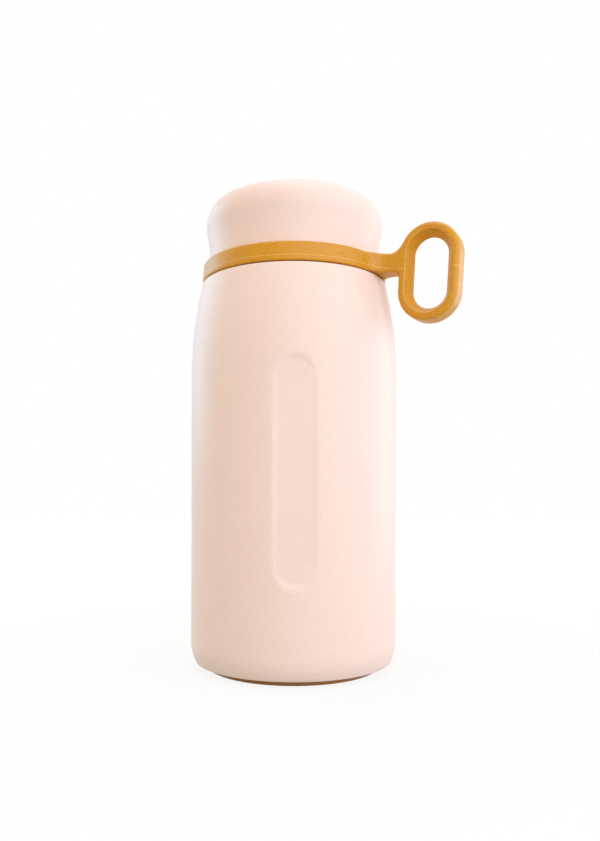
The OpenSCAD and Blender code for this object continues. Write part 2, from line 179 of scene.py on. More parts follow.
class BandSizes(bpy.types.PropertyGroup):
    """Sizes of the carry band and its finger loop."""

    inner: length("Inner radius", "Inside of the band", 29.8 * MM)
    outer: length("Outer radius", "Outside of the band at its foot", 32.2 * MM)
    taper: length("Taper", "How much narrower the band is at its top", 0.4 * MM)
    foot: length("Foot", "Height of the band's lower face", 133.9 * MM)
    head: length("Head", "Height of the band's upper face", 140.1 * MM)
    edge: length("Edge", "Rounding of the band's edges", 0.7 * MM)
    direction: FloatProperty(
        name="Direction",
        description="Direction of the loop, counted from +X",
        default=math.radians(-28),
        subtype="ANGLE",
    )
    lean: FloatProperty(
        name="Lean",
        description="How far the loop hangs under its own weight",
        default=math.radians(3),
        subtype="ANGLE",
    )
    droop: FloatProperty(name="Droop", description="Slope of the hanging stem", default=0.096)
    loop_reach: length("Loop reach", "Distance from the axis to the loop's middle", 50.2 * MM)
    loop_level: length("Loop level", "Height of the loop's middle", 132.2 * MM)
    loop_radius: length("Loop radius", "Half of the loop's width", 10 * MM)
    loop_leg: length("Loop leg", "Half of the loop's straight length", 5.8 * MM)
    bar_half: length("Bar half", "Half thickness of the loop's bar", 3.95 * MM)
    bar_face: length("Bar face", "Width of the bar at its faces", 2.3 * MM)
    bar_middle: length("Bar middle", "Width of the bar at mid-thickness", 4.6 * MM)
    bar_edge: length("Bar edge", "Rounding of the loop's outer edges", 1.6 * MM)
    fillet_above: length("Upper fillet", "Fillet above the stem", 3.7 * MM)
    fillet_below: length("Lower fillet", "Fillet below the stem", 2.0 * MM)
    fillet_ring: length("Ring fillet", "Fillet between the ring and the stem", 5 * MM)
    parting: length("Parting line", "Height of the moulding line round the band", 135.6 * MM)
    flash: length("Flash width", "Half width of the moulding line", 0.09 * MM)


class FinishColours(bpy.types.PropertyGroup):
    """Colours of the finishes."""

    paint: colour("Paint", "Powder coat of the body", (240, 220, 209))
    lid_paint: colour("Lid paint", "Powder coat of the lid", (240, 219, 209))
    silicone: colour("Silicone", "Carry band", (208, 147, 10))
    # The foot pad is the band's amber silicone made darker: painted shade where the pad meets the
    # floor under the bottle.
    foot: colour("Foot", "Foot pad", (160, 106, 42))
    flash: colour("Flash", "Thin silicone of the moulding lines", (250, 190, 100))
    seal: colour("Seal", "Clear silicone of the gasket", (226, 224, 218))
    plastic: colour("Plastic", "Moulded core of the lid", (236, 226, 214))
    steel: colour("Steel", "Bare stainless steel", (200, 199, 196))
    foil: colour("Foil", "Copper foil", (214, 150, 110))
    glass: colour("Solder glass", "Bead that seals the vent", (60, 66, 62))
    getter: colour("Getter", "Sintered pellet", (112, 112, 116))
    film: colour("Film", "Double-sided film", (226, 226, 212))
    foam: colour("Foam", "Insulating foam", (246, 246, 240))


class StudioSettings(bpy.types.PropertyGroup):
    """Camera and light."""

    distance: length("Distance", "Distance from the camera to the axis", 265 * MM)
    level: length("Level", "Height of the camera", 62.6 * MM)
    lens: FloatProperty(
        name="Lens", description="Focal length in millimetres", default=31.912, min=1
    )
    columns: IntProperty(
        name="Columns", description="Faces round a turned piece", default=144, min=24
    )
    key: power("Key", "Power of the light from the front right", 3.4)
    side: power("Side", "Power of the light from the right", 1.6)
    rim: power("Rim", "Power of the light from behind on the right", 1.2)
    edge: power("Edge", "Power of the light from behind on the left", 1.9)
    top: power("Top", "Power of the light straight above", 1.35)
    ambient: power("Ambient", "Strength of the even surrounding light", 0.95)
    reach: length("Reach", "Distance from the lamps to the bottle", 650 * MM)
    cool: colour("Lamp colour", "Colour of the lamps", (208, 228, 255))
    sky: colour("Sky colour", "Colour of the light from behind on the left", (145, 215, 255))
    warm: colour("Room colour", "Colour of the even surrounding light", (255, 224, 190))


# ---------------------------------------------------------------- outlines and meshes


def arc(centre, radius, start, stop, steps):
    """Points on an arc about a (radius, height) centre, between two angles."""
    angles = np.linspace(start, stop, steps + 1)
    return [(centre[0] + radius * math.cos(a), centre[1] + radius * math.sin(a)) for a in angles]


def rounded(corners, steps=5):
    """Closed outline through (radius, height) or (radius, height, fillet) corners."""
    outline = []
    for i, corner in enumerate(corners):
        here = np.array(corner[:2], float)
        fillet = corner[2] if len(corner) > 2 else 0
        if fillet == 0:
            outline.append(tuple(here))
            continue
        before = np.array(corners[i - 1][:2], float) - here
        after = np.array(corners[(i + 1) % len(corners)][:2], float) - here
        before /= np.linalg.norm(before)
        after /= np.linalg.norm(after)
        half = math.acos(np.clip(before @ after, -1, 1)) / 2
        inward = (before + after) / np.linalg.norm(before + after)
        centre = here + inward * fillet / math.sin(half)
        start = here + before * fillet / math.tan(half) - centre
        stop = here + after * fillet / math.tan(half) - centre
        for share in np.linspace(0, 1, steps + 1):
            spoke = start * (1 - share) + stop * share
            outline.append(tuple(centre + spoke * fillet / np.linalg.norm(spoke)))
    return outline


def between(start, stop, step):
    """Points along a straight stretch of an outline, both ends included."""
    count = max(1, math.ceil(math.dist(start, stop) / step))
    return [tuple(np.array(start) + (np.array(stop) - start) * i / count) for i in range(count + 1)]


def grid_faces(rows, columns):
    """Quads of a grid that closes on itself both ways."""
    index = np.arange(rows * columns).reshape(rows, columns)
    right, below = np.roll(index, -1, 1), np.roll(index, -1, 0)
    return np.stack([index, right, np.roll(right, -1, 0), below], -1).reshape(-1, 4)


def make_mesh(name, points, faces, merge=None):
    """A smooth mesh with its faces turned outwards. Points closer than merge become one."""
    mesh = bpy.data.meshes.new(name)
    mesh.from_pydata(points.reshape(-1, 3).tolist(), [], faces.tolist())
    work = bmesh.new()
    work.from_mesh(mesh)
    if merge:
        bmesh.ops.remove_doubles(work, verts=work.verts, dist=merge)
    bmesh.ops.recalc_face_normals(work, faces=work.faces)
    for face in work.faces:
        face.smooth = True
    work.to_mesh(mesh)
    work.free()
    return mesh


def turned_mesh(name, outline, angles=None, reshape=None):
    """A closed outline turned about the axis, with its points then passed through reshape."""
    if angles is None:
        columns = bpy.context.scene.bottle_studio.columns
        angles = np.arange(columns) * FULL_TURN / columns
    line = np.array(outline, float)
    radius, height = line[:, :1], line[:, 1:]
    points = np.stack(
        [radius * np.cos(angles), radius * np.sin(angles), height + 0 * angles], axis=-1
    )
    if reshape:
        points = reshape(points)
    return make_mesh(name, points, grid_faces(*points.shape[:2]), merge=MERGE)


def place(mesh, body, node, material, weighted=True):
    """Adds a mesh as a piece that rides on a body and stands for a CAD node."""
    piece = bpy.data.objects.new(mesh.name, mesh)
    bpy.context.scene.collection.objects.link(piece)
    mesh.materials.append(material)
    if weighted:
        normals = piece.modifiers.new("Even shading", "WEIGHTED_NORMAL")
        normals.mode = "FACE_AREA"
        normals.weight = 50
    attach(piece, body)
    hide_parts(node)


def smooth_step(value):
    """0 below 0, 1 above 1, and a soft S between them."""
    share = np.clip(value, 0, 1)
    return share * share * (3 - 2 * share)


# ---------------------------------------------------------------- material nodes


def arithmetic(operation):
    """A Python operator and its reflected form, each as one Math node."""

    def plain(self, other):
        return self.math(operation, self, other)

    def reflected(self, other):
        return self.math(operation, other, self)

    return plain, reflected


class Socket:
    """A shader value that Python arithmetic turns into Math nodes."""

    __add__, __radd__ = arithmetic("ADD")
    __sub__, __rsub__ = arithmetic("SUBTRACT")
    __mul__, __rmul__ = arithmetic("MULTIPLY")
    __pow__, __rpow__ = arithmetic("POWER")

    def __init__(self, shader, socket):
        self.shader = shader
        self.socket = socket

    def math(self, operation, first, second):
        """One Math node's value from two sockets or numbers."""
        return self.shader.add("Math", {"operation": operation}, {0: first, 1: second})


class Shader:
    """The nodes of a material or of the world."""

    def __init__(self, holder):
        holder.use_nodes = True
        self.holder = holder
        self.tree = holder.node_tree
        self.tree.nodes.clear()

    def add(self, kind, settings=None, inputs=None, output=0):
        """Adds a node of a kind, sets it up, feeds its sockets, and gives one output."""
        node = self.tree.nodes.new("ShaderNode" + kind)
        for key, value in (settings or {}).items():
            setattr(node, key, value)
        for key, value in (inputs or {}).items():
            if isinstance(value, Socket):
                self.tree.links.new(value.socket, node.inputs[key])
            else:
                node.inputs[key].default_value = value
        return Socket(self, node.outputs[output]) if node.outputs else None

    def place(self):
        """Position on the piece, in the frame's metres."""
        return self.add("TexCoord", output="Object")

    def noise(self, size, detail=2.0, roughness=0.5, vector=None):
        """Soft noise whose blobs are about size metres wide."""
        return self.add(
            "TexNoise",
            None,
            {
                "Vector": vector or self.place(),
                "Scale": 1 / size,
                "Detail": detail,
                "Roughness": roughness,
            },
        )

    def mix(self, share, first, second):
        """Colour between two colours."""
        return self.add("Mix", {"data_type": "RGBA"}, {0: share, 6: first, 7: second}, output=2)

    def speckled(self, base, grain, contrast):
        """A colour that a grain makes darker and lighter by up to contrast."""
        dark, light = [(part, part, part, 1) for part in (1 - contrast, 1 + contrast)]
        return self.add(
            "Mix",
            {"data_type": "RGBA", "blend_type": "MULTIPLY"},
            {0: 1.0, 6: base, 7: self.mix(grain, dark, light)},
            output=2,
        )

    def bump(self, height, depth):
        """Normal of a surface that height raises by up to depth metres."""
        return self.add("Bump", None, {"Strength": 1.0, "Distance": depth, "Height": height})

    def finish(self, **sockets):
        """Feeds the surface shader. An underscore in a name stands for a space."""
        inputs = {key.replace("_", " "): value for key, value in sockets.items()}
        surface = self.add("BsdfPrincipled", None, inputs)
        self.add("OutputMaterial", None, {"Surface": surface})
        return self.holder


def new_finish(name):
    """The empty nodes of a new material."""
    return Shader(bpy.data.materials.new(name))


def shade(tone, factor):
    """A colour made lighter or darker, with alpha."""
    return (*[min(1.0, part * factor) for part in tone], 1.0)


def paint_finish(name, tone):
    """Powder coat: a fine even grain, faint clouds and a soft sheen."""
    shader = new_finish(name)
    clouds = shader.noise(14 * MM, detail=3)
    grain = shader.noise(0.5 * MM, detail=2, roughness=0.6)
    dimple = shader.noise(1.6 * MM, detail=1)
    base = shader.mix(clouds, shade(tone, 0.985), shade(tone, 1.015))
    return shader.finish(
        Base_Color=shader.speckled(base, grain, contrast=0.1),
        Roughness=0.42 + 0.1 * (grain - 0.5) + 0.06 * (clouds - 0.5),
        Normal=shader.bump(grain + 0.8 * dimple, 0.012 * MM),
        Specular_IOR_Level=0.3,
    )


def silicone_finish(name, tone, roughness=0.44):
    """Matt moulded silicone with a dusty bloom."""
    shader = new_finish(name)
    clouds = shader.noise(5 * MM, detail=3)
    grain = shader.noise(0.5 * MM, detail=2, roughness=0.6)
    base = shader.mix(clouds, shade(tone, 0.96), shade(tone, 1.06))
    return shader.finish(
        Base_Color=shader.speckled(base, grain, contrast=0.38),
        Roughness=roughness + 0.12 * (clouds - 0.5) + 0.08 * (grain - 0.5),
        Normal=shader.bump(grain, 0.012 * MM),
        Subsurface_Weight=0.12,
        Subsurface_Radius=(1.0, 0.5, 0.15),
        Subsurface_Scale=1.2 * MM,
        Specular_IOR_Level=0.5,
    )


def seal_finish(name, tone):
    """Milky gasket silicone."""
    shader = new_finish(name)
    clouds = shader.noise(4 * MM)
    return shader.finish(
        Base_Color=shader.mix(clouds, shade(tone, 0.95), shade(tone, 1.04)),
        Roughness=0.38 + 0.1 * clouds,
        Normal=shader.bump(shader.noise(0.5 * MM), 0.006 * MM),
        Subsurface_Weight=0.4,
        Subsurface_Radius=(1.0, 0.95, 0.85),
        Subsurface_Scale=1.5 * MM,
    )


def plastic_finish(name, tone):
    """Satin moulded plastic with a fine spark-eroded texture."""
    shader = new_finish(name)
    clouds = shader.noise(9 * MM)
    grain = shader.noise(0.25 * MM, detail=3)
    return shader.finish(
        Base_Color=shader.mix(clouds, shade(tone, 0.98), shade(tone, 1.02)),
        Roughness=0.4 + 0.1 * grain,
        Normal=shader.bump(grain, 0.008 * MM),
        Subsurface_Weight=0.08,
        Subsurface_Radius=(1.0, 0.9, 0.8),
        Subsurface_Scale=1.0 * MM,
    )


def turned_steel_finish(name, tone):
    """Bare steel with fine rings round the axis from turning and polishing."""
    shader = new_finish(name)
    spot = shader.place()
    x, y, z = [shader.add("SeparateXYZ", None, {0: spot}, output=i) for i in range(3)]
    reach = (x**2 + y**2) ** 0.5
    rings_at = shader.add("CombineXYZ", None, {0: reach, 1: 0.02 * x, 2: z})
    rings = shader.noise(0.16 * MM, detail=3, roughness=0.7, vector=rings_at)
    haze = shader.noise(7 * MM, detail=3)
    return shader.finish(
        Base_Color=shader.mix(haze, shade(tone, 0.93), shade(tone, 1.05)),
        Metallic=1.0,
        Roughness=0.26 + 0.12 * rings + 0.08 * (haze - 0.5),
        Normal=shader.bump(rings, 0.006 * MM),
    )


def foil_finish(name, tone):
    """Creased copper foil."""
    shader = new_finish(name)
    creases = shader.add(
        "TexVoronoi",
        {"feature": "DISTANCE_TO_EDGE"},
        {"Vector": shader.place(), "Scale": 1 / (6 * MM)},
    )
    return shader.finish(
        Base_Color=shader.mix(shader.noise(10 * MM), shade(tone, 0.9), shade(tone, 1.08)),
        Metallic=1.0,
        Roughness=0.22 + 0.15 * creases,
        Normal=shader.bump(creases, 0.25 * MM),
    )


def grainy_finish(name, tone, size, depth, roughness, metal=0.0):
    """Sintered, foamed or rolled surfaces: a grain of one size."""
    shader = new_finish(name)
    grain = shader.add(
        "TexVoronoi", {"feature": "F1"}, {"Vector": shader.place(), "Scale": 1 / size}
    )
    return shader.finish(
        Base_Color=shader.mix(grain, shade(tone, 0.88), shade(tone, 1.06)),
        Metallic=metal,
        Roughness=roughness + 0.15 * grain,
        Normal=shader.bump(grain, depth),
    )


# ---------------------------------------------------------------- bottle


def heel_radius(sizes, inset, height):
    """Radius of the wall, moved inwards by inset, at a height in the heel."""
    drop = max(heel_top(sizes) - height, 0)
    return sizes.radius - sizes.heel_arch + math.sqrt((sizes.heel_arch - inset) ** 2 - drop**2)


def heel_top(sizes):
    """Height where the heel meets the straight wall."""
    return SHELL_LOW.z + sizes.heel_height


def heel_line(sizes, inset, low, high, steps=8):
    """The heel's outline from height low up to high."""
    heights = np.linspace(low, high, steps + 1)
    return [(heel_radius(sizes, inset, height), height) for height in heights]


def shoulder_arch(sizes):
    """Radius of the arch that leaves the straight wall and ends at the ledge."""
    step = sizes.radius - sizes.ledge_radius
    return (step**2 + sizes.shoulder**2) / (2 * step)


def upper_wall(sizes, inset, edge):
    """Outline of the shoulder and the edge of its ledge, moved inwards by inset."""
    foot = sizes.ledge - sizes.shoulder
    arch = shoulder_arch(sizes) - inset
    centre = sizes.radius - inset - arch
    edge_height = sizes.ledge - inset - edge
    lean = math.asin((edge_height - foot) / (arch - edge))
    edge_centre = (centre + (arch - edge) * math.cos(lean), edge_height)
    past_recess = (sizes.recess_head + 2 * sizes.recess_blend - foot) / arch
    return (
        arc((centre, foot), arch, 0, past_recess, 14)[:-1]
        + arc((centre, foot), arch, past_recess, lean, 26)[:-1]
        + arc(edge_centre, edge, lean, math.pi / 2, 6)
    )


def straight_wall(sizes, inset):
    """The straight wall's outline, with its points close together at the recess's ends."""
    radius = sizes.radius - inset
    reach = sizes.recess_width / 2 + 1.5 * sizes.recess_blend
    before = sizes.recess_foot - 2 * sizes.recess_blend
    stretches = [
        (heel_top(sizes), before, PLAIN_STEP),
        (before, sizes.recess_foot + reach, FINE_STEP),
        (sizes.recess_foot + reach, sizes.recess_head - reach, PLAIN_STEP),
        (sizes.recess_head - reach, sizes.ledge - sizes.shoulder, FINE_STEP),
    ]
    line = []
    for low, high, step in stretches:
        line += between((radius, low), (radius, high), step)[:-1]
    return line


def wall_angles(sizes):
    """Angles of the wall's columns: close together across the recess, wide elsewhere."""
    edge_columns, floor_columns, plain_columns = 16, 34, 110
    edge = 2 * sizes.recess_blend
    near, far = sizes.recess_width / 2 - edge, sizes.recess_width / 2 + edge
    wall = np.linspace(near, far, edge_columns)
    floor = np.linspace(-near, near, floor_columns + 2)[1:-1]
    across = np.concatenate([-wall[::-1], floor, wall])
    fine = FRONT + np.arcsin(across / sizes.radius)
    coarse = np.linspace(fine[-1], fine[0] + FULL_TURN, plain_columns + 2)[1:-1]
    return np.concatenate([fine, coarse])


def press_recess(sizes):
    """Presses the grip recess into the front of a turned wall: a flat floor with soft edges."""

    def reshape(points):
        across, along, height = points[..., 0], points[..., 1], points[..., 2]
        middle = (sizes.recess_foot + sizes.recess_head) / 2
        half_width = sizes.recess_width / 2
        squash = half_width / sizes.recess_round
        leg = (sizes.recess_head - sizes.recess_foot) / 2 - sizes.recess_round
        past_leg = np.abs(height - middle) - leg
        lift = sizes.recess_lift * smooth_step(past_leg / sizes.recess_round + 0.5)
        from_spine = np.hypot(across - sizes.recess_aside, squash * np.maximum(past_leg, 0))
        endwise = smooth_step(past_leg / sizes.recess_round)
        inside = half_width + sizes.recess_blend - from_spine
        share = smooth_step(inside / (sizes.recess_blend * (2 + endwise))) * (along < 0)
        depth = sizes.radius - np.hypot(across, along)
        floor = sizes.recess_depth - lift - sizes.radius + np.clip(depth, 0, sizes.sheet)
        pressed = points.copy()
        pressed[..., 1] = along + share * np.maximum(floor - along, 0)
        return pressed

    return reshape


def wall_outline(sizes, neck):
    """Closed outline of the painted sheet, from its lower lip over the shoulder and back."""
    low = SHELL_LOW.z
    inner_edge = sizes.ledge_edge - sizes.sheet
    foot_outer = heel_line(sizes, 0, low + sizes.lip, heel_top(sizes))
    foot_inner = heel_line(sizes, sizes.sheet, low + sizes.lip, heel_top(sizes))
    lip_middle = (foot_outer[0][0] + foot_inner[0][0]) / 2
    lip = arc((lip_middle, low + sizes.sheet / 2), sizes.sheet / 2, math.pi, FULL_TURN, 8)[1:-1]
    root = (neck.radius + neck.fillet, sizes.ledge)
    root_inner = (root[0], sizes.ledge - sizes.sheet)
    outer = foot_outer[:-1] + straight_wall(sizes, 0) + upper_wall(sizes, 0, sizes.ledge_edge)
    inner = (
        foot_inner[:-1]
        + straight_wall(sizes, sizes.sheet)
        + upper_wall(sizes, sizes.sheet, inner_edge)
    )
    return outer + [root, root_inner] + inner[::-1] + lip


def thread(neck, radius, side, turns, foot, start):
    """Raises a helical ridge on the wall of one radius. side is 1 outwards and -1 inwards."""
    laps = range(-1, 3)  # whole turns that can cross one angle
    run_out = 0.1  # share of a turn over which the ridge's ends die away

    def reshape(points):
        reach = np.hypot(points[..., 0], points[..., 1])
        angle = np.arctan2(points[..., 1], points[..., 0])
        rise = np.zeros_like(reach)
        for lap in laps:
            turned_by = (angle - start) / FULL_TURN + lap
            centre = foot + neck.lead * turned_by
            slope = (neck.ridge_foot - np.abs(points[..., 2] - centre)) / (
                neck.ridge_foot - neck.ridge_crest
            )
            fade = smooth_step(turned_by / run_out) * smooth_step((turns - turned_by) / run_out)
            rise = np.maximum(rise, neck.ridge * smooth_step(slope) * fade)
        on_wall = np.abs(reach - radius) < HAIR
        grown = 1 + side * rise * on_wall / np.maximum(reach, MM)
        raised = points.copy()
        raised[..., :2] *= grown[..., None]
        return raised

    return reshape


def neck_outline(sizes, neck):
    """Closed outline of the bare neck, down to where the paint starts."""
    top = LINER_HIGH.z - neck.lip
    step = 0.22 * MM
    fillet_at = (neck.radius + neck.fillet, sizes.ledge + neck.fillet)
    outer = arc(fillet_at, neck.fillet, -math.pi / 2, -math.pi, 6)
    wall = between((neck.radius, sizes.ledge + neck.fillet), (neck.radius, top), step)
    inner = neck.radius - sizes.sheet
    foot = (neck.radius + neck.fillet, sizes.ledge - sizes.sheet)
    return outer[:-1] + wall + [(inner, top), (inner, sizes.ledge), foot]


def liner_outline(sizes, neck):
    """Closed outline of the inner wall, with the lip that rolls over the outer neck."""
    sheet, corner, fillet = sizes.sheet, 4 * MM, 1.5 * MM
    gap = sheet + neck.liner_gap
    seam, top = LINER_LOW.z, LINER_HIGH.z
    ledge = sizes.ledge - gap
    inside, outside = neck.mouth, neck.mouth + sheet
    roll = neck.lip / 2
    outer = (
        [(sizes.radius - gap, seam)]
        + upper_wall(sizes, gap, corner)
        + arc((outside + fillet, ledge + fillet), fillet, -math.pi / 2, -math.pi, 5)
        + [(outside, top - neck.lip)]
    )
    rolled = arc((neck.radius - roll, top - roll), roll, -math.pi / 2, math.pi / 2, 8)
    mouth = arc((inside + roll, top - roll), roll, math.pi / 2, math.pi, 5)
    fillet += sheet
    inner = (
        arc((inside + fillet, ledge - sheet + fillet), fillet, math.pi, 1.5 * math.pi, 6)
        + upper_wall(sizes, gap + sheet, corner - sheet)[::-1]
        + [(sizes.radius - gap - sheet, seam)]
    )
    return outer + rolled + mouth + inner


def liner_floor_outline(sizes, neck):
    """Closed outline of the liner's dished bottom."""
    sheet, corner = sizes.sheet, 6 * MM
    radius = sizes.radius - sheet - neck.liner_gap
    low, seam = FLOOR_LOW.z, FLOOR_HIGH.z
    centre = (radius - corner, low + corner)
    outer = arc(centre, corner, 0, -math.pi / 2, 10)
    inner = arc(centre, corner - sheet, -math.pi / 2, 0, 10)
    return (
        [(radius, seam)] + outer + [(0, low), (0, low + sheet)] + inner
        + [(radius - sheet, seam)]
    )


def plate_outline(sizes):
    """Closed outline of the bottom plate: flange, flat ring and the pad's seat."""
    slack, room, edge = 0.05 * MM, 0.2 * MM, 1.0 * MM
    sheet = sizes.sheet
    inset = sheet + slack
    low, flange = PLATE_LOW.z, PLATE_HIGH.z
    seat, roof = PAD_HIGH.x + room, PAD_HIGH.z + room
    flange_foot = low + 1.3 * edge
    outer_flange = heel_line(sizes, inset, flange_foot, flange, 3)[1:]
    inner_flange = heel_line(sizes, inset + sheet, flange_foot, flange, 3)[1:]
    return rounded(
        [
            *outer_flange[::-1],
            (heel_radius(sizes, inset, low), low, edge),
            (seat, low, 0.3 * MM),
            (seat, roof, 0.2 * MM),
            (0, roof),
            (0, roof + sheet),
            (seat + sheet, roof + sheet, 0.2 * MM),
            (seat + sheet, low + sheet, 0.1 * MM),
            (heel_radius(sizes, inset + sheet, low + sheet), low + sheet, edge - sheet),
            *inner_flange,
        ]
    )


def pad_outline():
    """Closed outline of the foot pad, with two grip rings and a shallow middle."""
    radius, top = PAD_HIGH.x, PAD_HIGH.z
    dish, hollow, slope = 12 * MM, 0.3 * MM, 0.5 * MM
    groove, width, soft = 0.5 * MM, 1.2 * MM, 0.12 * MM
    line = [(0, hollow), (dish, hollow, 0.4 * MM), (dish + slope, 0, 0.2 * MM)]
    for outer in (radius - 8 * MM, radius - 4 * MM):
        inner = outer - width
        line += [(inner, 0, soft), (inner, groove, soft), (outer, groove, soft), (outer, 0, soft)]
    line += [(radius, 0, 0.45 * MM), (radius, top, 0.15 * MM), (0, top)]
    return rounded(line)


# ---------------------------------------------------------------- lid


def waist_level(lid):
    """Height above the groove from which the lid's side flares."""
    return lid.groove_top + 1.0 * MM


def cap_line(lid, inset, low):
    """Half outline of the lid above a height: the flared side, the oval corner and the dome."""
    waist = waist_level(lid)
    corner_end = math.radians(87)  # where the corner gives way to the dome
    middle = lid.radius - lid.corner_width
    widest = CAP_HIGH.z - lid.dome - lid.corner_height
    meet = widest - lid.corner_height * math.sin(lid.tuck)
    flare = middle + lid.corner_width * math.cos(lid.tuck) - lid.waist
    heights = np.linspace(low, meet, 15)[:-1]
    share = np.clip((heights - waist) / (meet - waist), 0, 1) ** 2
    side = [(lid.waist + flare * s - inset, h) for s, h in zip(share, heights)]
    wide, tall = lid.corner_width - inset, lid.corner_height - inset
    corner = [
        (middle + wide * math.cos(a), widest + tall * math.sin(a))
        for a in np.linspace(-lid.tuck, corner_end, 24)
    ]
    crown = (middle**2 + lid.dome**2) / (2 * lid.dome)
    top = [
        ((crown - inset) * math.sin(a), CAP_HIGH.z - inset - (crown - inset) * (1 - math.cos(a)))
        for a in np.linspace(math.asin(middle / crown), 0, 9)[1:]
    ]
    return side + corner + top


def cap_outline(lid):
    """Closed outline of the painted cover, with the hook that keeps the band in its groove."""
    slack, chamfer = 0.05 * MM, 0.35 * MM
    inner = lid.skirt + lid.skirt_wall + slack
    foot, deck = CAP_LOW.z, CORE_HIGH.z
    hook, hook_top = lid.groove + 1.0 * MM, foot + 0.8 * MM
    bead, bead_height, bead_foot = 0.35 * MM, 1.2 * MM, deck - 4 * MM
    lower = rounded(
        [
            (inner, foot, 0.15 * MM),
            (hook, foot, 0.25 * MM),
            (hook, hook_top, 0.25 * MM),
            (lid.groove, hook_top, 0.15 * MM),
            (lid.groove, lid.groove_top),
            (lid.waist, lid.groove_top + chamfer),
            (inner, lid.groove_top),
        ]
    )[:-1]
    snap_bead = [
        (inner, bead_foot + bead_height),
        (inner + bead, bead_foot + bead_height / 2),
        (inner, bead_foot),
    ]
    upper = cap_line(lid, 0, waist_level(lid))
    under = cap_line(lid, lid.wall, deck)[::-1]
    return lower + upper + under + [(inner, deck)] + snap_bead


def core_outline(lid):
    """Closed outline of the moulded core: plug, deck and threaded skirt."""
    foot, deck, skirt_foot = CORE_LOW.z, CORE_HIGH.z, CAP_LOW.z
    floor = wall = 1.5 * MM
    under_deck = deck - floor
    groove_low, groove_high, groove = foot + 3 * MM, foot + 6.4 * MM, lid.plug - 0.9 * MM
    gate, gate_roof, soft = 2.2 * MM, foot + 0.35 * MM, 0.15 * MM
    outer = lid.skirt + lid.skirt_wall
    plug_inner = groove - wall
    skirt_top, skirt_end = under_deck - 0.6 * MM, skirt_foot + 0.5 * MM
    skirt = between((lid.skirt, skirt_top), (lid.skirt, skirt_end), FINE_STEP)
    plug = rounded(
        [
            (0, gate_roof),
            (gate, gate_roof, 0.1 * MM),
            (gate + 0.4 * MM, foot, soft),
            (lid.plug, foot, 1.1 * MM),
            (lid.plug, groove_low, soft),
            (groove, groove_low, soft),
            (groove, groove_high, soft),
            (lid.plug, groove_high, soft),
            (lid.plug, under_deck, 0.5 * MM),
            (lid.skirt, under_deck),
        ]
    )[:-1]
    rest = rounded(
        [
            (lid.skirt, under_deck),
            (lid.skirt, skirt_foot, 0.3 * MM),
            (outer, skirt_foot, soft),
            (outer, deck, 0.2 * MM),
            (plug_inner, deck, 0.2 * MM),
            (plug_inner, foot + floor, 0.3 * MM),
            (0, foot + floor),
        ]
    )[1:]
    return plug + [(lid.skirt - 0.1 * MM, under_deck)] + skirt + rest


def seal_outline(neck, lid):
    """Closed outline of the gasket with its two lips."""
    low, high = SEAL_LOW.z, SEAL_HIGH.z
    inner = lid.plug - 0.85 * MM
    lip = neck.mouth - 0.1 * MM
    waist = lip - 0.7 * MM
    soft = 0.1 * MM
    root = 1.35 * MM  # from an end of the gasket to its lip's root
    lower_tip = [(lip, low + 0.9 * MM, 0.12 * MM), (lip, low + 1.2 * MM, 0.08 * MM)]
    upper_tip = [(lip, high - 0.75 * MM, 0.12 * MM), (lip, high - 0.45 * MM, 0.08 * MM)]
    roots = [(waist, low + root, 0.15 * MM), (waist, high - root, 0.15 * MM)]
    start = [(inner, low, soft), (waist, low, soft)]
    end = [(waist, high, soft), (inner, high, soft)]
    return rounded(start + lower_tip + roots + upper_tip + end, steps=3)


# ---------------------------------------------------------------- carry band


def join_round(first, second, radius):
    """Distance to two shapes together, with a fillet of that radius where they meet."""
    gap = np.hypot(np.maximum(radius - first, 0), np.maximum(radius - second, 0))
    return np.maximum(radius, np.minimum(first, second)) - gap


def keep_round(first, second, radius):
    """Distance to what two shapes share, with its edge rounded to that radius."""
    gap = np.hypot(np.maximum(radius + first, 0), np.maximum(radius + second, 0))
    return np.minimum(-radius, np.maximum(first, second)) + gap


